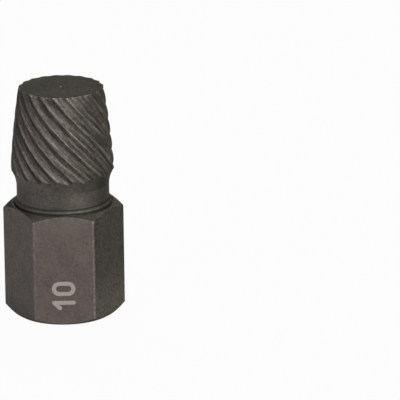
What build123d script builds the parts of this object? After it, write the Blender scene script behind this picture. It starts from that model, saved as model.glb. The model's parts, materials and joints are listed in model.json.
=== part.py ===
from build123d import *
import math
import os

# Spiral screw extractor: a hexagonal drive body, a round collar and a tapered head with left-hand flutes,
# all turned and ground from one bar. The origin is the centre of the hexagon's bottom face, and +Z points
# to the tip. One flat of the hexagon faces -Y. Lengths are in millimetres and angles in degrees.

# Hexagonal drive body
hex_across_flats = 12.7
hex_height = 13.82
hex_corner_radius = 0.12
top_chamfer_diameter = 12.58
top_chamfer_angle = 33.0
bottom_chamfer_diameter = 11.94
bottom_chamfer_angle = 32.0

# Collar, with a round bead at its foot and a narrow relief groove around the bead
collar_diameter = 11.25
collar_length = 2.14
bead_radius = 0.28
relief_groove_width = 0.16
relief_groove_depth = 0.12

# Concave shoulder that flares from the collar to the head
shoulder_length = 2.26

# Tapered head
head_base_diameter = 12.58
tip_diameter = 10.3
head_length = 10.1
head_barrel = 0.12
tip_edge_chamfer = 0.15
centre_mark_diameter = 0.4
centre_mark_depth = 0.08

# Flutes, ground by a round-nosed wheel that follows a left-hand helix
flute_count = 20
flute_lead = 38.5
flute_depth = 0.38
flute_facets = 4
crest_land = 0.1
tip_flute_angle = -0.8
wheel_clearance = 0.5

# Heights along the axis
collar_top = hex_height + collar_length
head_base = collar_top + shoulder_length
tip = head_base + head_length

hex_outer_radius = hex_across_flats / math.sqrt(3)
collar_radius = collar_diameter / 2
head_base_radius = head_base_diameter / 2
tip_radius = tip_diameter / 2


def crest_radius(height):
    """Radius of the turned head at a height: a straight taper with a slight barrel."""
    along = (height - head_base) / head_length
    taper = head_base_radius + (tip_radius - head_base_radius) * along
    return taper + 4 * head_barrel * along * (1 - along)


# Outline of the wheel's nose at the head's base: straight facets along an arc, as deep as a flute and so wide
# that a narrow land stays between two flutes. The end facets run on past the head's surface, to cut clear.
flute_half_angle = math.pi / flute_count - crest_land / 2 / head_base_radius
flute_half_width = head_base_radius * math.sin(flute_half_angle)
flute_sagitta = flute_depth - head_base_radius * (1 - math.cos(flute_half_angle))
wheel_radius = (flute_half_width**2 + flute_sagitta**2) / (2 * flute_sagitta)
wheel_centre = head_base_radius - flute_depth + wheel_radius
wheel_half_angle = math.asin(flute_half_width / wheel_radius)
nose_angles = [wheel_half_angle * (2 * i / flute_facets - 1) for i in range(flute_facets + 1)]
nose = [Vector(wheel_centre - wheel_radius * math.cos(a), wheel_radius * math.sin(a)) for a in nose_angles]
nose[0] += (nose[0] - nose[1]).normalized() * wheel_clearance
nose[-1] += (nose[-1] - nose[-2]).normalized() * wheel_clearance

# Path of one flute: the nose's outline climbs the axis from the shoulder's foot to past the tip, turns with
# the helix and shrinks with the head's taper
flute_top = tip + wheel_clearance
flute_length = flute_top - collar_top
climb = Line((0, 0, collar_top), (0, 0, flute_top))
helix = Helix(flute_lead, flute_length, collar_radius, center=(0, 0, collar_top), lefthand=True)
with BuildPart() as flute:
    for height in (collar_top, collar_top + flute_length / 2, flute_top):
        turn = tip_flute_angle - 360 * (height - tip) / flute_lead
        with BuildSketch(Plane.XY.offset(height).rotated((0, 0, turn))):
            with BuildLine():
                Polyline([point * crest_radius(height) / head_base_radius for point in nose], close=True)
            make_face()
    sweep(path=climb, binormal=helix, multisection=True)

# Fluted head: a turned blank with a chamfered tip edge and a centre mark, cut by the flutes, which run out
# through the tip face at one end and on the shoulder at the other
side_top = tip - tip_edge_chamfer
side_middle = (head_base + side_top) / 2
with BuildPart() as head:
    with BuildSketch(Plane.XZ):
        with BuildLine():
            foot = Line((0, collar_top), (collar_radius, collar_top))
            shoulder = TangentArc(foot @ 1, (head_base_radius, head_base), tangent=(0, 1))
            side = ThreePointArc(
                shoulder @ 1,
                (crest_radius(side_middle), side_middle),
                (crest_radius(side_top), side_top),
            )
            tip_edge = Line(side @ 1, (tip_radius - tip_edge_chamfer, tip))
            tip_face = Line(tip_edge @ 1, (centre_mark_diameter / 2, tip))
            mark = Line(tip_face @ 1, (0, tip - centre_mark_depth))
            Line(mark @ 1, foot @ 0)
        make_face()
    revolve(axis=Axis.Z)
    with PolarLocations(0, flute_count):
        add(flute.part, mode=Mode.SUBTRACT)

# Chamfers of the hexagon: a turned envelope that takes off the corners at both ends
top_chamfer_drop = (hex_outer_radius - top_chamfer_diameter / 2) * math.tan(math.radians(top_chamfer_angle))
bottom_chamfer_rise = (
    hex_outer_radius - bottom_chamfer_diameter / 2
) * math.tan(math.radians(bottom_chamfer_angle))
with BuildPart() as chamfer_envelope:
    with BuildSketch(Plane.XZ):
        with BuildLine():
            Polyline(
                (0, 0),
                (bottom_chamfer_diameter / 2, 0),
                (hex_outer_radius, bottom_chamfer_rise),
                (hex_outer_radius, hex_height - top_chamfer_drop),
                (top_chamfer_diameter / 2, hex_height),
                (0, hex_height),
                close=True,
            )
        make_face()
    revolve(axis=Axis.Z)

with BuildPart() as screw_extractor:
    # Hexagonal body with softened corners
    with BuildSketch():
        RegularPolygon(hex_across_flats / 2, 6, major_radius=False)
    extrude(amount=hex_height)
    fillet(screw_extractor.edges().filter_by(Axis.Z), hex_corner_radius)
    add(chamfer_envelope.part, mode=Mode.INTERSECT)

    # Relief groove in the top face, just outside the bead
    with BuildSketch(Plane.XZ):
        with Locations((collar_radius + bead_radius + relief_groove_width / 2, hex_height)):
            Rectangle(relief_groove_width, 2 * relief_groove_depth)
    revolve(axis=Axis.Z, mode=Mode.SUBTRACT)

    # Collar, with the half-round bead round its foot
    with BuildSketch(Plane.XZ):
        with BuildLine():
            collar_foot = Line((0, hex_height), (collar_radius, hex_height))
            bead = ThreePointArc(
                collar_foot @ 1,
                (collar_radius + bead_radius, hex_height + bead_radius),
                (collar_radius, hex_height + 2 * bead_radius),
            )
            wall = Line(bead @ 1, (collar_radius, collar_top))
            collar_end = Line(wall @ 1, (0, collar_top))
            Line(collar_end @ 1, collar_foot @ 0)
        make_face()
    revolve(axis=Axis.Z)

    add(head.part)

screw_extractor.part.label = "screw_extractor"
os.makedirs("parts", exist_ok=True)
export_step(screw_extractor.part, "parts/screw_extractor.step")
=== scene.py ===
# %% [markdown]
# # A spiral screw extractor
#
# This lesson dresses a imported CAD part: a spiral screw extractor, the tool that grips a broken screw
# from the inside. It is one piece of steel. A hexagonal body takes the wrench, a round collar follows,
# and a tapered head with twenty left-hand flutes bites into the screw. The lesson loads the solid,
# builds a finer skin in its place, gives that skin a black oxide finish and sets up a small studio.

# %% Open the frame
import bmesh
import bpy
import json
import math
from mathutils import Matrix, Vector

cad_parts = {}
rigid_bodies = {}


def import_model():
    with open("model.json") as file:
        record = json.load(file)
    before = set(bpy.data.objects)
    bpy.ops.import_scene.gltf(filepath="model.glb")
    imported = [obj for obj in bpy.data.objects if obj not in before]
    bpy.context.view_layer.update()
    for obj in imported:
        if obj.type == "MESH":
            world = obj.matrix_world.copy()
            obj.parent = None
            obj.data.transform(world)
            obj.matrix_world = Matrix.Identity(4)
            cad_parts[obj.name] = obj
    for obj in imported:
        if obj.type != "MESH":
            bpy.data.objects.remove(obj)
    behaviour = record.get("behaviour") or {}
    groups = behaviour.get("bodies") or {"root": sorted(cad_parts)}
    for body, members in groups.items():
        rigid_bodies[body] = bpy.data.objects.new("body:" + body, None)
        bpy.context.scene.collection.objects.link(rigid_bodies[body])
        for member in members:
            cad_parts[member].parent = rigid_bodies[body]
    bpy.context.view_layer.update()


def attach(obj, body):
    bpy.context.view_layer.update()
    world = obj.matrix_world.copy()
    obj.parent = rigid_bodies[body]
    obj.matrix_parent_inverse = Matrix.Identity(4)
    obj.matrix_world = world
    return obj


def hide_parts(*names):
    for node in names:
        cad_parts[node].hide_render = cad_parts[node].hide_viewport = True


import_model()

# %% [markdown]
# ## Sizes
#
# On the real tool every diameter is turned on a lathe, so each form is a radius that changes with
# the height. The sizes below are the solid's own, in millimetres. Blender works in metres here, so
# the finished points are multiplied by `mm` once, where they are placed.

# %% Sizes of the hexagonal body
mm = 0.001
hexagon_radius = 6.35
hexagon_height = 13.82
top_face_radius = 6.29
top_slope = math.tan(math.radians(33))
foot_face_radius = 5.97
foot_slope = math.tan(math.radians(32))
corner_radius = 0.12
print("hexagon:", 2 * hexagon_radius, "mm across flats,", hexagon_height, "mm high")

# %% Sizes of the collar and its bead
collar_radius = 5.625
collar_top = 15.96
bead_radius = 0.28
bead_foot = collar_radius + bead_radius
bead_top = hexagon_height + 2 * bead_radius
bead_fillet = 0.05
groove_width = 0.16
groove_depth = 0.12
groove_bevel = 0.06
groove_rim = bead_foot + groove_width
print("collar:", 2 * collar_radius, "mm across, with a bead", round(2 * bead_radius, 2), "mm high")

# %% Sizes of the head
head_base = 18.22
head_base_radius = 6.29
tip = 28.32
head_length = tip - head_base
tip_radius = 5.15
barrel = 0.12
rim_radius = 0.1
mark_radius = 0.2
mark_depth = 0.08
print("head:", 2 * head_base_radius, "to", 2 * tip_radius, "mm across,", round(head_length, 2), "mm long")

# %% [markdown]
# ## The turned profile
#
# Before its flutes are ground, the head is a plain turned blank. Three short functions describe it:
# the concave shoulder is an arc of a large circle that starts upright on the collar, the side is a
# taper with a slight barrel, and the rim at the tip is a small rounding.

# %% Radius of the blank at a height
shoulder_rise = head_base_radius - collar_radius
shoulder_radius = (shoulder_rise**2 + (head_base - collar_top) ** 2) / (2 * shoulder_rise)


def shoulder_at(height):
    """Radius of the concave shoulder."""
    return collar_radius + shoulder_radius - math.sqrt(shoulder_radius**2 - (height - collar_top) ** 2)


def side_at(height):
    """Radius of the head's tapered side, with its barrel."""
    along = (height - head_base) / head_length
    return head_base_radius + (tip_radius - head_base_radius) * along + 4 * barrel * along * (1 - along)


def rim_at(height):
    """Radius of the rounded rim at the tip."""
    over = max(0, height - (tip - rim_radius))
    return side_at(height) - rim_radius + math.sqrt(max(0, rim_radius**2 - over**2))


print("shoulder radius:", round(shoulder_radius, 3), "mm")

# %% [markdown]
# ## The flutes
#
# A round-nosed wheel grinds each flute while the tool turns under it. In a cut across the head, a
# flute is the arc of that wheel, and a narrow land stays between two flutes. Use has worn the crests,
# so `crest_wear` lets each arc fade softly into its lands. The skin has 24 columns of points for each
# flute: 22 steps over the arc and 2 over the land. They climb the head along the helix, so every crest
# is a line of mesh edges. `tip_angle` is the direction of the first flute at the tip, in degrees.

# %% The wheel and its arc
flutes = 20
lead = 38.5
flute_depth = 0.38
land = 0.1
crest_wear = 0.1
tip_angle = -1.6
arc_steps = 22
middle_column = arc_steps // 2
flute_columns = arc_steps + 2
columns = flute_columns * flutes
pitch = 360 / flutes
half_flute = math.pi / flutes - land / 2 / head_base_radius
half_width = head_base_radius * math.sin(half_flute)
sagitta = flute_depth - head_base_radius * (1 - math.cos(half_flute))
wheel_radius = (half_width**2 + sagitta**2) / (2 * sagitta)
wheel_centre = head_base_radius - flute_depth + wheel_radius
print("wheel radius:", round(wheel_radius, 3), "mm for", flutes, "flutes")


# %% One column of the skin
def flute_column(column):
    """Angle from the flute's middle and radius at the head's base, for a column of points."""
    step = column % flute_columns
    if step > arc_steps:
        return math.pi / flutes, head_base_radius
    angle = half_flute * (2 * step / arc_steps - 1)
    wheel_nose = math.sqrt(wheel_radius**2 - (wheel_centre * math.sin(angle)) ** 2)
    ground = head_base_radius - wheel_centre * math.cos(angle) + wheel_nose
    return angle, head_base_radius + crest_wear - math.hypot(ground, crest_wear)


def helix_angle(column, height):
    """Direction of a column at a height, in radians."""
    middle = math.radians(pitch * (column // flute_columns) + tip_angle - 360 * (height - tip) / lead)
    return middle + flute_column(column)[0]


def flute_at(column, height):
    """Radius of a column in its flute, which shrinks with the head's taper."""
    return flute_column(column)[1] * side_at(height) / head_base_radius


worn_depth = head_base_radius - flute_column(middle_column)[1]
print("depth of a flute over its worn crests:", round(worn_depth, 3), "mm")

# %% [markdown]
# ## Where the flutes end
#
# At the foot of the head a flute leaves the steel on the concave shoulder, and at the top it meets the
# rounded rim. Each column of points does so at a height of its own, which is found by halving.


# %% Crossings
def crossing(lower, upper, gap, halvings=40):
    """Height at which the gap between two surfaces closes."""
    for _ in range(halvings):
        middle = (lower + upper) / 2
        lower, upper = (middle, upper) if gap(middle) > 0 else (lower, middle)
    return upper


run_out = [
    crossing(collar_top, head_base, lambda z: flute_at(column, z) - shoulder_at(z))
    for column in range(flute_columns)
]
rim_start = [
    crossing(tip - rim_radius, tip, lambda z: rim_at(z) - flute_at(column, z))
    for column in range(flute_columns)
]
print("the flutes run out on the shoulder at", round(min(run_out), 2), "to", round(max(run_out), 2), "mm")

# %% [markdown]
# ## Growing the skin ring by ring
#
# The flutes could be cut from a turned blank with booleans, but such cuts can leave slivers where they
# run out on the shoulder. So the skin is grown instead. It starts as one circle of points round the
# foot. Each further ring is an extrusion of the last one, whose points are then moved to where their
# column belongs at that height. A layer on the points remembers the column, and an extrusion copies it,
# so two short helpers grow the whole tool. A second layer marks the fluted points for the finish.

# %% The first ring and the helpers
skin = bmesh.new()
column_of = skin.verts.layers.int.new("column")
fluted_layer = skin.verts.layers.float.new("fluted")
circle = bmesh.ops.create_circle(skin, cap_ends=False, segments=columns, radius=1)["verts"]
for point in circle:
    point[column_of] = round(math.degrees(math.atan2(point.co.y, point.co.x)) * columns / 360) % columns


def place(angle, radius, height):
    """A point round the axis, in metres."""
    return Vector((radius * math.cos(angle), radius * math.sin(angle), height)) * mm


def grow(ring, where):
    """Extrudes a ring of edges and moves each new point to where its column belongs."""
    grown = bmesh.ops.extrude_edge_only(skin, edges=ring)["geom"]
    points = {part for part in grown if isinstance(part, bmesh.types.BMVert)}
    for point in points:
        point.co = where(point[column_of])
    edges = [part for part in grown if isinstance(part, bmesh.types.BMEdge)]
    return [edge for edge in edges if points.issuperset(edge.verts)]


def climb(ring, rings, where):
    """Grows several rings. Each column's place follows from its share of the way up."""
    for step in range(rings):
        share = (step + 1) / rings
        ring = grow(ring, lambda column: where(column, share))
    return ring


def mark_fluted(ring, fluted):
    """Marks the points of a ring as fluted, 1, or plain, 0."""
    for edge in ring:
        for point in edge.verts:
            point[fluted_layer] = fluted


print(len(circle), "columns in the first ring")

# %% [markdown]
# ## The hexagonal body
#
# The real body is a hexagonal bar whose ends are chamfered on a lathe. A cone meets a flat in a
# shallow curve, and each column knows the height at which that happens: the further its part of the
# flat is from the axis, the lower the chamfer starts. So the curved edges come out of four rings.

# %% Rings of the body
def straight(column):
    """Direction of a column below the collar."""
    return 2 * math.pi * column / columns


def hexagon_at(column):
    """Distance of the hexagon's surface from the axis, with a corner on the first column."""
    off_middle = straight(column) % (math.pi / 3) - math.pi / 6
    return hexagon_radius / math.cos(off_middle)


for point in circle:
    point.co = place(straight(point[column_of]), foot_face_radius, 0)
foot_rim = list({edge for point in circle for edge in point.link_edges})
ring = foot_rim
body_rings = [
    (lambda column: (hexagon_at(column) - foot_face_radius) * foot_slope, hexagon_at),
    (lambda column: hexagon_height - (hexagon_at(column) - top_face_radius) * top_slope, hexagon_at),
    (lambda column: hexagon_height, lambda column: top_face_radius),
]
for height, radius in body_rings:
    ring = grow(ring, lambda column: place(straight(column), radius(column), height(column)))
print("corner of the body:", round(hexagon_at(0), 3), "mm from the axis")

# %% [markdown]
# ## Groove and bead
#
# Round the collar's foot runs a half-round bead, with a narrow relief groove outside it. These are
# turned forms, so their rings are plain circles that follow the profile.

# %% Rings of the groove and the bead
profile = [
    (groove_rim, hexagon_height),
    (groove_rim, hexagon_height - groove_depth),
    (bead_foot, hexagon_height - groove_depth),
    (bead_foot - groove_bevel, hexagon_height),
]
bead_rings = 12
for step in range(bead_rings):
    turn = math.pi * (step + 1) / (bead_rings + 1)
    height = hexagon_height + bead_radius * (1 - math.cos(turn))
    profile.append((collar_radius + bead_radius * math.sin(turn), height))
profile.append((collar_radius, bead_top + bead_fillet))
for radius, height in profile:
    ring = grow(ring, lambda column: place(straight(column), radius, height))
print(len(profile), "rings in the groove and bead")

# %% [markdown]
# ## Collar and shoulder
#
# On the collar the straight columns lean over to meet the helix. The shoulder's rings then stop at
# the height where each column's flute leaves the steel. That ring is the scalloped edge on which the
# flutes run out, and the fluted part of the skin starts there.

# %% Rings of the collar and the shoulder
lean_start = hexagon_height + 0.7
turned_by = helix_angle(middle_column, collar_top) - straight(middle_column)
shift = round(turned_by / (2 * math.pi) * columns)


def lean(column, height):
    """Direction of a column on the head, matched to the nearest straight column."""
    return helix_angle(column - shift, height)


def on_collar(column, share):
    """A point of the collar."""
    turn = math.remainder(lean(column, collar_top) - straight(column), 2 * math.pi)
    height = lean_start + (collar_top - lean_start) * share
    return place(straight(column) + share * turn, collar_radius, height)


def on_shoulder(column, share):
    """A point of the shoulder."""
    end = run_out[(column - shift) % flute_columns]
    height = collar_top + (end - collar_top) * share
    return place(lean(column, height), shoulder_at(height), height)


collar_rings, shoulder_rings = 6, 16
ring = climb(ring, collar_rings, on_collar)
ring = climb(ring, shoulder_rings, on_shoulder)
mark_fluted(ring, 1)
print("columns shifted by", shift % columns)

# %% [markdown]
# ## The fluted head
#
# From the run-out edge the rings climb to the rim. The blank's rim is rounded before grinding, so a
# crest reaches the rounding early, and the bottom of a flute hardly at all. The flat face of the tip
# closes the skin, with a small centre mark from the lathe. Its rings keep the shading of the rim and
# of the mark off the flat face.

# %% Rings of the head
def in_flute(column, share):
    """A point of the fluted side."""
    start = run_out[(column - shift) % flute_columns]
    end = rim_start[(column - shift) % flute_columns]
    height = start + (end - start) * share
    return place(lean(column, height), flute_at(column - shift, height), height)


def on_rim(column, share):
    """A point of the rounded rim. The rings lie closer together towards the face."""
    start = rim_start[(column - shift) % flute_columns]
    height = start + (tip - start) * math.sin(share * math.pi / 2)
    return place(lean(column, height), min(rim_at(height), flute_at(column - shift, height)), height)


head_rings, rim_rings = 80, 5
mark_margin = 0.03
ring = climb(ring, head_rings, in_flute)
ring = climb(ring, rim_rings, on_rim)
face_rings = (4.78, 4.6, 3.0, 1.2, mark_radius + mark_margin, mark_radius)
for radius in face_rings:
    ring = grow(ring, lambda column: place(lean(column, tip), radius, tip))
    mark_fluted(ring, 0)
mark_end = 0.01
ring = grow(ring, lambda column: place(lean(column, tip), mark_end, tip - mark_depth))
bmesh.ops.contextual_create(skin, geom=ring)
bmesh.ops.contextual_create(skin, geom=foot_rim)
print(len(skin.faces), "faces before the corners are rounded")

# %% [markdown]
# ## Round corners
#
# The six long corners of the bar are slightly round. They are the only edges that are longer than a
# few millimetres and run along a corner's column, so they are easy to pick out for a bevel.

# %% Bevel, doubles and normals
shortest_corner = 5
corner_columns = columns // 6
weld_distance = 1e-7
corners = [
    edge
    for edge in skin.edges
    if edge.calc_length() > shortest_corner * mm
    and all(point[column_of] % corner_columns == 0 for point in edge.verts)
]
corner_cut = corner_radius * math.tan(math.radians(30))
bmesh.ops.bevel(
    skin, geom=corners, offset=corner_cut * mm, offset_type="OFFSET",
    segments=3, profile=0.5, affect="EDGES", material=-1,
)
bmesh.ops.remove_doubles(skin, verts=skin.verts, dist=weld_distance)
bmesh.ops.recalc_face_normals(skin, faces=skin.faces)
print(len(corners), "corners rounded;", len(skin.verts), "points,", len(skin.faces), "faces")

# %% [markdown]
# ## The piece
#
# The skin becomes an object that stands in for the solid and moves with its body. Faces that meet at
# more than the sharp angle keep a hard edge in the shading: the chamfers, the groove and the tip.

# %% The piece
sharp_angle = 24
mesh = bpy.data.meshes.new("extractor")
skin.to_mesh(mesh)
skin.free()
mesh.shade_smooth()
mesh.set_sharp_from_angle(angle=math.radians(sharp_angle))
extractor = bpy.data.objects.new("extractor_skin", mesh)
bpy.context.scene.collection.objects.link(extractor)
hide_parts("screw_extractor")
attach(extractor, "root")
print("triangles:", sum(len(face.vertices) - 2 for face in mesh.polygons))

# %% [markdown]
# ## Writing a finish as sums
#
# A finish varies over the surface by formulas. Node by node they are hard to read, so a small class
# wraps an output of the node tree, and each Python operator on it adds the Math node that it means.
# Most terms are soft steps, so a value can also rise, fall, or be high only in a band.

# %% The expression class
class Value:
    """One number in a finish. Sums, products and powers of it add their Math nodes."""

    def __init__(self, finish, socket):
        self.finish, self.socket = finish, socket

    def maths(self, operation, *numbers):
        """Adds one Math node."""
        return self.finish.node("ShaderNodeMath", {"operation": operation}, dict(enumerate(numbers)))

    def __add__(self, other):
        return self.maths("ADD", self, other)

    def __sub__(self, other):
        return self.maths("SUBTRACT", self, other)

    def __mul__(self, other):
        return self.maths("MULTIPLY", self, other)

    def __truediv__(self, other):
        return self.maths("DIVIDE", self, other)

    def __pow__(self, other):
        return self.maths("POWER", self, other)

    def __radd__(self, other):
        return self.maths("ADD", other, self)

    def __rsub__(self, other):
        return self.maths("SUBTRACT", other, self)

    def __rmul__(self, other):
        return self.maths("MULTIPLY", other, self)

    def __rtruediv__(self, other):
        return self.maths("DIVIDE", other, self)

    def __neg__(self):
        return self.maths("MULTIPLY", self, -1)

    def __abs__(self):
        return self.maths("ABSOLUTE", self)

    def most(self, limit):
        """This number, but never more than the limit."""
        return self.maths("MINIMUM", self, limit)

    def least(self, limit):
        """This number, but never less than the limit."""
        return self.maths("MAXIMUM", self, limit)

    def ramp(self, low, high):
        """0 below low, 1 above high, and a soft step between them."""
        settings = {"interpolation_type": "SMOOTHSTEP"}
        inputs = {"Value": self, "From Min": low, "From Max": high}
        return self.finish.node("ShaderNodeMapRange", settings, inputs)

    def fall(self, low, high):
        """1 below low, 0 above high, and a soft step between them."""
        return 1 - self.ramp(low, high)

    def band(self, start, full, fading, end):
        """1 from full to fading, 0 before start and after end, and soft steps between them."""
        return self.ramp(start, full) * self.fall(fading, end)


def stairs(value, *steps):
    """The sum of soft steps along a value, each given as its height, start and end."""
    return sum(height * value.ramp(start, end) for height, start, end in steps)


print("operators ready: + - * / ** and their reflected forms")


# %% The finish class
class Finish:
    """A material, or the light of a room, that is written as expressions on Values."""

    def __init__(self, name, library=bpy.data.materials):
        self.block = library.new(name)
        self.block.use_nodes = True
        self.tree = self.block.node_tree
        self.tree.nodes.clear()

    def node(self, kind, settings, inputs, output=0):
        """Adds a node: its settings first, then the values or links of its sockets."""
        made = self.tree.nodes.new(kind)
        for name, setting in settings.items():
            setattr(made, name, setting)
        for name, value in inputs.items():
            if isinstance(value, Value):
                self.tree.links.new(value.socket, made.inputs[name])
            else:
                made.inputs[name].default_value = value
        return Value(self, made.outputs[output]) if made.outputs else None

    def mix(self, share, first, second):
        """Blends two colours by a share from 0 to 1."""
        return self.node("ShaderNodeMix", {"data_type": "RGBA"}, {0: share, 6: first, 7: second}, 2)

    def vector(self, x, y, z):
        """Three numbers as one vector."""
        return self.node("ShaderNodeCombineXYZ", {}, {0: x, 1: y, 2: z})

    def split(self, vector):
        """The three numbers of a vector."""
        made = self.node("ShaderNodeSeparateXYZ", {}, {0: vector}).socket.node
        return [Value(self, output) for output in made.outputs]

    def scaled(self, colour, factor):
        """A colour or a vector times a number."""
        return self.node("ShaderNodeVectorMath", {"operation": "SCALE"}, {0: colour, "Scale": factor})

    def noise(self, where, scale, detail, roughness):
        """Soft noise from 0 to 1."""
        inputs = {"Vector": where, "Scale": scale, "Detail": detail, "Roughness": roughness}
        return self.node("ShaderNodeTexNoise", {}, inputs)


print("a finish can mix colours, split vectors and make noise")

# %% [markdown]
# ## Where a spot lies on the tool
#
# The finish differs from form to form: the flats are ground, the collar is turned, and the flutes
# carry the marks of their wheel. So the material first works out where a spot lies. Object coordinates
# give its place in metres. Turning that place back by the helix unwinds the flutes.

# %% Where a spot lies
oxide = Finish("black_oxide")
spot = oxide.node("ShaderNodeTexCoord", {}, {}, "Object")
x, y, z = [part / mm for part in oxide.split(spot)]
from_axis = (x * x + y * y) ** 0.5
turn = z * (2 * math.pi / lead)
cosine, sine = turn.maths("COSINE", turn), turn.maths("SINE", turn)
unwound_x, unwound_y = x * cosine - y * sine, x * sine + y * cosine
unwound = unwound_y.maths("ARCTAN2", unwound_y, unwound_x)
print("the flutes would go once round the tool in", lead, "mm")

# %% [markdown]
# ## Uneven blacking
#
# Black oxide forms in a hot salt bath. It takes a little differently on each patch of steel, so the
# real tool is mottled in soft clouds, with a fine grain over them. Each is a noise of its own scale.
# The wheel draws streaks along the flutes, so their noise is stretched along the unwound helix.

# %% Noises
def mottling(number, scale, detail, roughness):
    """A noise in the steel. Each number gives a place of its own, so no two are alike."""
    return oxide.noise(oxide.vector(x, y, z + 40 * number), scale, detail, roughness)


grain = mottling(0, 3.2, 3.0, 0.7)
cloud = mottling(1, 0.55, 3.0, 0.6)
blotch = mottling(2, 0.9, 2.0, 0.5)
wandering = mottling(3, 0.7, 2.0, 0.6)
streak = oxide.noise(oxide.vector(unwound_x, unwound_y, z * 0.1), 2.8, 3.0, 0.65)
print("grain, clouds, blotches, a slow wandering and wheel streaks")

# %% [markdown]
# ## Across a flute
#
# How far a spot lies behind a crest, as a share of the pitch, follows from the unwound angle. The count
# runs from `before_crest` in front of the crest to the same place in front of the next one. On a used
# tool no two crests are worn quite alike, so the count wanders a little to either side.

# %% Across a flute
first_crest = (tip_angle / pitch + flutes * tip / lead + 0.5) % 1
before_crest = 0.3
wander = (wandering - 0.5) * 0.22
count = unwound * (flutes / (2 * math.pi)) + wander + (before_crest - first_crest)
across = count.maths("FRACT", count) - before_crest
print("the first crest is", round(first_crest, 3), "of a pitch from the start")

# %% [markdown]
# ## Masks for the forms
#
# A mask is 1 on one form and 0 elsewhere. A flat is where the distance along its own direction reaches
# the hexagon's half width, the body lies below its top, and the flutes were marked on the points while
# the skin grew. The other masks are made from these. They fade over a few hundredths of a millimetre.

# %% The flats
fade = 0.02
near = 0.01


def on_flat(azimuth):
    """1 on the flat that faces a direction. Azimuth 0 is in front, and 60 is on the right."""
    a = math.radians(azimuth)
    outward = x * math.sin(a) - y * math.cos(a)
    return outward.ramp(hexagon_radius - near - fade, hexagon_radius - near)


flats = {azimuth: on_flat(azimuth) for azimuth in (0, 60, 120, 180, -120, -60)}
front, right_flat, left_flat = flats[0], flats[60], flats[-60]
any_flat = sum(flats.values())
print(len(flats), "flats told apart")

# %% The other forms
fluted = oxide.node("ShaderNodeAttribute", {"attribute_name": "fluted"}, {}, "Fac")
body = z.fall(hexagon_height - fade, hexagon_height)
tip_face = z.ramp(tip - 2 * fade, tip - near)
turned = z.ramp(hexagon_height, hexagon_height + fade) * (1 - fluted) * (1 - tip_face)
off_wall = from_axis.ramp(collar_radius + 0.015, collar_radius + 0.075)
bead = turned * off_wall * z.fall(bead_top - 0.08, bead_top + fade)
off_flats = 1 - any_flat
outside_face = from_axis.ramp(top_face_radius - fade, top_face_radius + near)
top_chamfer = off_flats * body * z.ramp(10, 11) * outside_face
foot_chamfer = off_flats * z.fall(2, 3)
print("masks for the flutes, the turned neck, the bead, the chamfers and the tip")

# %% [markdown]
# ## How light each form is
#
# A tone is a number near 1 that makes the black lighter or darker. Over one flute it rises steeply to
# the worn crest, falls again behind it and is lowest in the corner before the next crest. Besides the
# lighter worn crests, this is painted light and shade on the flute's walls. The left side's painted light
# falls later, and the right side has a second, lower painted highlight after painted shade.

# %% Tone over one flute
# Painted light and shade over a flute's walls, with lighter worn crests.
flute_tone = 0.59 + stairs(across, (0.95, -0.26, 0.07), (-0.64, 0.1, 0.32), (-0.31, 0.42, 0.68))
# On the left the painted light falls later. On the right a painted second highlight follows painted
# shade.
late_fall = across.band(0.18, 0.32, 0.5, 0.7) * 0.14
painted_second_highlight = across.band(0.38, 0.5, 0.56, 0.7) * 0.22
painted_shade_before_it = across.band(0.1, 0.26, 0.36, 0.46) * 0.12
flute_tone = flute_tone + x.fall(-4, -1) * late_fall + x.ramp(1, 3.5) * (painted_second_highlight - painted_shade_before_it)
print("crests lighter than the corners beside them")

# %% Streaks, grain and sides
dark_foot = 1 - 0.3 * x.ramp(3, 4.5) * z.fall(18.5, 20)
flute_tone = flute_tone * (0.5 + streak.ramp(0.3, 0.7)) * (1 + (grain - 0.5) * 1.9)
# Painted shade: the flutes are a little darker towards the left.
flute_tone = flute_tone * (0.93 + 0.13 * x.ramp(-2, 1)) * dark_foot
# Towards both sides of the tip, the painted light and shade of the flutes fade into an even tone.
even_tone = 0.68
faded = z.ramp(25.5, 27.8) * (x.fall(-4.4, -2.8) + x.ramp(2.4, 3.8)) * 0.65
flute_tone = flute_tone + (even_tone - flute_tone) * faded
print("the flutes fade towards both sides of the tip")

# %% [markdown]
# Along the rim of the tip, bright metal shows through the oxide. Where the wheel leaves the steel, the
# flutes' feet are lighter: bright metal with a painted highlight. A painted highlight also runs up the
# front of the head near the tip.

# %% Bright metal and painted highlights on the flutes
exit_start, exit_end = 16.9, 17.6
specks = grain.ramp(0.5, 0.62) * (0.35 + 0.65 * blotch.ramp(0.4, 0.6))
rim_wear = z.ramp(tip - 0.5, tip - 0.1) + z.ramp(tip - 0.16, tip - 0.08)
# A painted highlight up the front of the head near the tip.
painted_highlight_near_tip = z.ramp(tip - 2.6, tip - 0.8) * x.band(-0.3, 1.2, 2.2, 4) * 0.45
# Bright metal where the wheel leaves the steel, with a painted highlight that is weaker on the right.
exit_wear_and_sheen = z.fall(exit_start, exit_end) * (0.6 - 0.5 * x.ramp(2, 4.5))
flute_tone = flute_tone + rim_wear * specks + painted_highlight_near_tip + exit_wear_and_sheen
print("bright metal at the feet of the flutes, up to", exit_start, "mm, and round the tip")

# %% [markdown]
# Each flat has painted light and shade of its own: the left one lighter, the right one darker. The
# front one is painted lighter towards both ends, and the flats beside it change towards the foot. The top
# chamfers are painted lighter, and the foot chamfer and the tip face darker.

# %% The flats and the chamfers
# Painted light and shade: each flat gets a tone of its own.
painted_flat_shading = {0: 1.23, 60: 0.71, 120: 0.95, 180: 1.0, -120: 0.95, -60: 1.42}
plain_tone = 1.0 + sum(flats[azimuth] * (tone - 1.0) for azimuth, tone in painted_flat_shading.items())
# Painted light on the top chamfers, painted shade on the foot chamfer and the tip face.
plain_tone = plain_tone + top_chamfer * 0.42 - foot_chamfer * 0.1 - tip_face * 0.25
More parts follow.
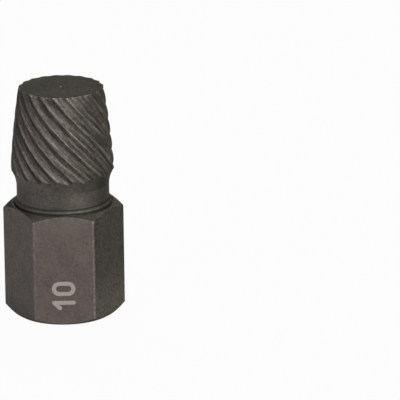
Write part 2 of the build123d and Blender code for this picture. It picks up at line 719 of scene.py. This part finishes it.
# Painted light towards both ends of the front flat and the foot of the right flat, painted shade at the
# left flat's foot.
plain_tone = plain_tone + front * (z.ramp(9, 13) + z.fall(0, 3.5)) * 0.11
plain_tone = plain_tone + right_flat * z.fall(0.5, 8) * 0.5 - left_flat * z.fall(0, 5) * 0.2
print("tones of the flats:", painted_flat_shading)

# %% [markdown]
# The turned neck has painted light and shade: a painted highlight right of its middle, painted shade
# towards its right side, its shoulder more so, and painted light on its left. The bead has a painted
# highlight. The crease above the bead and the groove beside it are drawn as darker lines of painted
# shade, and a painted shadow lies on the left part of the top chamfer.

# %% The neck and the bead
shoulder_start = 16.35
# Painted highlight right of the neck's middle, painted shade towards its right side.
painted_round_shading = stairs(x, (0.13, 0, 2.5), (-0.286, 2.5, 5), (-0.2, 3.8, 4.8)) - 0.12
# Painted light on the left of the neck and of its shoulder.
painted_left_light = x.fall(-4.5, -1) * (0.1 + 0.15 * z.ramp(shoulder_start + 0.15, shoulder_start + 1.15))
# Painted shade on the shoulder's right side, painted light on its left.
painted_shoulder_shading = z.ramp(shoulder_start, shoulder_start + 0.1) * (0.12 - 0.35 * x.ramp(0, 3.5))
# Painted highlight on the bead.
painted_bead_highlight = stairs(x, (0.22, -4, 1), (0.25, 2, 4.5))
plain_tone = plain_tone + turned * (painted_round_shading + painted_left_light + painted_shoulder_shading) + bead * painted_bead_highlight
graininess = 1.4 - front * 0.5 + (right_flat + tip_face) * 0.9
plain_tone = plain_tone * (1 + (cloud - 0.5) * (0.7 - front * 0.3) + (grain - 0.5) * graininess)
print("the shoulder has a shade of its own from", shoulder_start, "mm up")

# %% Darker lines beside the bead
crease_height = bead_top + 0.04
on_wall = from_axis.fall(collar_radius + 0.005, collar_radius + 0.055)
# Painted shade in the crease above the bead.
crease_shade = 1 - 0.4 * abs(z - crease_height).fall(0.02, 0.14) * on_wall
# Painted shade in the groove, strongest towards the left.
groove_shade = 1 - 0.4 * body * from_axis.fall(groove_rim + 0.005, groove_rim + 0.025) * x.fall(-4, 2)
# Painted shadow of the neck on the left part of the top chamfer.
on_left_cone = off_flats * body * z.ramp(12.6, 13.2) * from_axis.fall(6.5, 7.2) * x.fall(-5, -2.5)
painted_shadow = 1 - 0.55 * on_left_cone
plain_tone = plain_tone * crease_shade * groove_shade * painted_shadow
print("a crease", round(crease_height, 2), "mm up, the groove and some residue on the chamfer")

# %% [markdown]
# ## Worn edges and painted highlights
#
# Handling rubs the oxide off the edges first, and the edges also carry painted highlights, most on the
# front right. The body's corners are the spots furthest from its axis, and the curved edge of a chamfer
# is where the height of a flat's spot reaches the chamfer's own height for that distance. The lathe's
# centre mark on the tip gets a small painted highlight, and the rim of the tip a painted highlight on its
# right.

# %% Wear and painted highlights
below_chamfer = hexagon_height - (from_axis - top_face_radius) * top_slope - z
# Wear on the body's corners with a painted highlight, strongest on the front right.
corner_wear_and_sheen = from_axis.ramp(7.2, 7.28) * (0.45 + 0.55 * x.ramp(-1, 1)) * (1 - 0.8 * abs(x).ramp(5, 6.5))
# Wear along the chamfers' curved edges with painted highlight lines.
edge_wear_and_sheen = below_chamfer.fall(0.02, 0.14) * any_flat * 0.6
in_patches = 0.4 + 0.6 * blotch.ramp(0.3, 0.55) + 0.6 * z.ramp(12.4, 13.2)
worn_and_sheen = (corner_wear_and_sheen + edge_wear_and_sheen) * in_patches * (0.4 + 0.6 * grain.ramp(0.45, 0.6))
# Painted highlight in the centre mark on the tip.
centre_glint = z.ramp(tip - 0.2, tip - 0.1) * from_axis.fall(0.14, 0.22) * 1.6
# Wear on the tip's rim, with a painted highlight towards the right.
rim_wear_and_sheen = tip_face * from_axis.ramp(4.9, 5.05) * (specks * 1.3 + x.ramp(1.5, 3.5) * 0.35)
tone = fluted * flute_tone + (1 - fluted) * (plain_tone + worn_and_sheen + centre_glint) + rim_wear_and_sheen
print("edges, rim and pip worn bright")

# %% [markdown]
# ## The tint of the black
#
# Black oxide is never quite neutral. The front flat has a brownish cast, the right side and the tip
# lean to olive, and the left side is cooler. The tints below have a mean near 1, so they don't change
# how light the steel is.

# %% Tints
cool, olive = (1.11, 0.98, 0.91, 1), (1.12, 1.03, 0.85, 1)
brown, moss = (1.17, 0.966, 0.861, 1), (1.12, 1.05, 0.8, 1)
tint = oxide.mix((x + (blotch - 0.5) * 6).ramp(-5, 3), cool, olive)
tint = oxide.mix((front * (0.75 + 0.5 * cloud)).most(1), tint, brown)
tint = oxide.mix((tip_face + (top_chamfer + bead) * x.ramp(0, 4)).most(1), tint, moss)
print("four casts of black")

# %% [markdown]
# ## A plain number on the front flat
#
# The real tool has its size etched into the front flat, reading upwards. Here it is a plain number.
# Etching hardly changes the surface, so the number is drawn in the finish and not modelled. A digit is a
# line of constant width, so distances alone can draw it: a spot belongs to a stroke where its distance
# from a straight line is less than half the stroke. The nought is a stroke round a short line, at a
# constant distance from it.

# %% Size and place of the digits
number_middle = 0.1
digit_half = 1.17
digit_gap = 1.77
digit_radius = 0.65
half_stroke = 0.25
stroke_blur = 0.03
one_at = 2.95
flag_reach = 0.68
print("digits", round(2 * (digit_half + half_stroke), 2), "mm high")


# %% Strokes
def from_line(start, end):
    """Distance of a spot on the front flat from a straight line. The digits stand towards -X."""
    run, rise = end[0] - start[0], end[1] - start[1]
    p, q = z - start[0], -x - start[1]
    share = ((p * run + q * rise) / (run**2 + rise**2)).least(0).most(1)
    p, q = p - share * run, q - share * rise
    return (p * p + q * q) ** 0.5


one_top = (one_at, number_middle + digit_half)
bar = from_line((one_at, number_middle - digit_half), one_top)
flag = from_line(one_top, (one_at - flag_reach, one_top[1] - flag_reach))
zero_at = one_at + digit_gap
inset = digit_half - digit_radius
zero = abs(from_line((zero_at, number_middle - inset), (zero_at, number_middle + inset)) - digit_radius)
nearest = bar.most(flag).most(zero)
number = nearest.fall(half_stroke - stroke_blur, half_stroke + stroke_blur) * front * (0.75 + 0.4 * grain)
print("the number starts", round(one_at - flag_reach, 2), "mm above the foot")

# %% [markdown]
# ## Black oxide on steel
#
# The oxide is a thin, nearly matt layer over metal, so the shader is part metal and part plain dark
# surface. The flutes are rougher than the turned neck. The grain and the wheel's streaks also go into a
# bump of a few hundredths of a millimetre, which breaks up the gloss.

# %% The material
darkness = 0.1
etched = (0.44, 0.395, 0.36, 1)
bump_height = 0.03
colour = oxide.mix(number, oxide.scaled(tint, tone * darkness), etched)
roughness = 0.42 - turned * 0.06 + bead * 0.18 + fluted * 0.12 + (cloud - 0.5) * 0.12 + number * 0.1
relief = {"Strength": 0.5, "Distance": bump_height * mm, "Height": grain + streak * fluted * 2}
surface = oxide.node(
    "ShaderNodeBsdfPrincipled",
    {},
    {
        "Base Color": colour,
        "Metallic": 0.6,
        "Specular IOR Level": 0.5,
        "Specular Tint": (0.4, 0.39, 0.37, 1),
        "Roughness": roughness,
        "Normal": oxide.node("ShaderNodeBump", {}, relief),
    },
)
oxide.node("ShaderNodeOutputMaterial", {}, {"Surface": surface})
mesh.materials.append(oxide.block)
print(len(oxide.tree.nodes), "nodes in the finish")

# %% [markdown]
# ## The floor
#
# The tool stands on white paper. To the camera the paper glows evenly, which gives a clean white
# background without more light on the tool. A small share of it stays matt, so it keeps the tool's soft
# shadow. In reflections the glow is weaker, because the blacked steel hardly mirrors its surroundings.

# %% Floor
floor_half = 1.5
floor_mesh = bmesh.new()
bmesh.ops.create_grid(floor_mesh, x_segments=1, y_segments=1, size=floor_half)
floor_data = bpy.data.meshes.new("floor")
floor_mesh.to_mesh(floor_data)
floor_mesh.free()
floor = bpy.data.objects.new("floor", floor_data)
bpy.context.scene.collection.objects.link(floor)
print("floor", 2 * floor_half, "m wide")

# %% Paper
white = (1, 1, 1, 1)
mirrored_glow = 0.1


def glowing(finish, seen_glow):
    """The share of a backdrop that glows: large to the camera, and small in reflections."""
    seen = finish.node("ShaderNodeLightPath", {}, {}, "Is Camera Ray")
    mirrored = finish.node("ShaderNodeLightPath", {}, {}, "Is Glossy Ray")
    return seen * seen_glow + mirrored * mirrored_glow


paper = Finish("white_paper")
glow = paper.node("ShaderNodeEmission", {}, {"Color": white, "Strength": 1.0})
matt = paper.node("ShaderNodeBsdfDiffuse", {}, {"Color": (0.8, 0.8, 0.8, 1)})
both = paper.node("ShaderNodeMixShader", {}, {0: glowing(paper, 0.96), 1: matt, 2: glow})
paper.node("ShaderNodeOutputMaterial", {}, {"Surface": both})
floor_data.materials.append(paper.block)
print(len(paper.tree.nodes), "nodes in the paper")

# %% [markdown]
# ## The lamps
#
# Small parts are photographed between large soft lamps. The key stands in front, to the right, and the
# fill on the left. Both are low, so the upright flats are lighter than the tip. A lamp above the front
# picks out the chamfers, and one high behind lights the tip and the far side. The room adds a dim, even
# light, and the camera sees it as white.

# %% Lamps
lamp_distance = 0.9
lamps = {  # azimuth and elevation in degrees, size in metres, power in watts
    "key": (28, 10, 0.5, 5.8),
    "fill": (-45, 8, 0.5, 2.1),
    "top": (20, 62, 0.5, 0.9),
    "back": (180, 52, 0.6, 2.0),
}


def towards(azimuth, elevation):
    """A direction away from the tool. Azimuth 0 is in front, and 90 is on the right."""
    a, e = math.radians(azimuth), math.radians(elevation)
    return Vector((math.sin(a) * math.cos(e), -math.cos(a) * math.cos(e), math.sin(e)))


for name, (azimuth, elevation, size, power) in lamps.items():
    lamp = bpy.data.lights.new(name, "AREA")
    lamp.size, lamp.energy = size, power
    holder = bpy.data.objects.new(name, lamp)
    bpy.context.scene.collection.objects.link(holder)
    back = towards(azimuth, elevation)
    holder.location = Vector((0, 0, tip / 2)) * mm + back * lamp_distance
    holder.rotation_euler = back.to_track_quat("Z", "Y").to_euler()
print(len(lamps), "lamps")

# %% The room
room_light = 0.1
room = Finish("room", bpy.data.worlds)
dim = room.node("ShaderNodeBackground", {}, {"Color": white, "Strength": room_light})
bright = room.node("ShaderNodeBackground", {}, {"Color": white, "Strength": 1.0})
both = room.node("ShaderNodeMixShader", {}, {0: glowing(room, 1.0), 1: dim, 2: bright})
room.node("ShaderNodeOutputWorld", {}, {"Surface": both})
bpy.context.scene.world = room.block
print("an even light of", room_light, "from all sides")

# %% [markdown]
# ## The camera
#
# The camera stands half a metre away with a long lens, a little above the tool. Its direction, distance
# and roll come from fitting the tool's outline. The tool doesn't stand in the middle of the picture, so
# the camera is turned until the middle of the tool falls on its own pixel.

# %% Where the camera stands
picture = 400
sensor = 36
lens_pixels = 4234.487
distance = 514.877
azimuth, elevation, roll = 0.531, 17.774, math.radians(-1.179)
aim = Vector((0, 0, 14)) * mm
aim_pixel = (63.164, 199.69)
back = towards(azimuth, elevation)
level = Vector((math.cos(math.radians(azimuth)), math.sin(math.radians(azimuth)), 0))
upright = back.cross(level)
right = math.cos(roll) * level + math.sin(roll) * upright
up = math.cos(roll) * upright - math.sin(roll) * level
print("the camera stands", round(distance), "mm from the tool")

# %% Camera
off_centre = ((aim_pixel[0] - picture / 2) / lens_pixels, (picture / 2 - aim_pixel[1]) / lens_pixels)
ray = Vector((*off_centre, -1)).normalized()
swing = Vector((0, 0, -1)).rotation_difference(ray).to_matrix().transposed()
facing = Matrix((right, up, back)).transposed() @ swing
camera_data = bpy.data.cameras.new("camera")
camera_data.lens = lens_pixels * sensor / picture
camera_data.clip_start, camera_data.clip_end = 0.01, 10
camera = bpy.data.objects.new("camera", camera_data)
bpy.context.scene.collection.objects.link(camera)
camera.matrix_world = Matrix.Translation(aim + back * distance * mm) @ facing.to_4x4()
bpy.context.scene.camera = camera
bpy.context.scene.view_settings.view_transform = "Standard"
print("lens:", round(camera_data.lens), "mm")
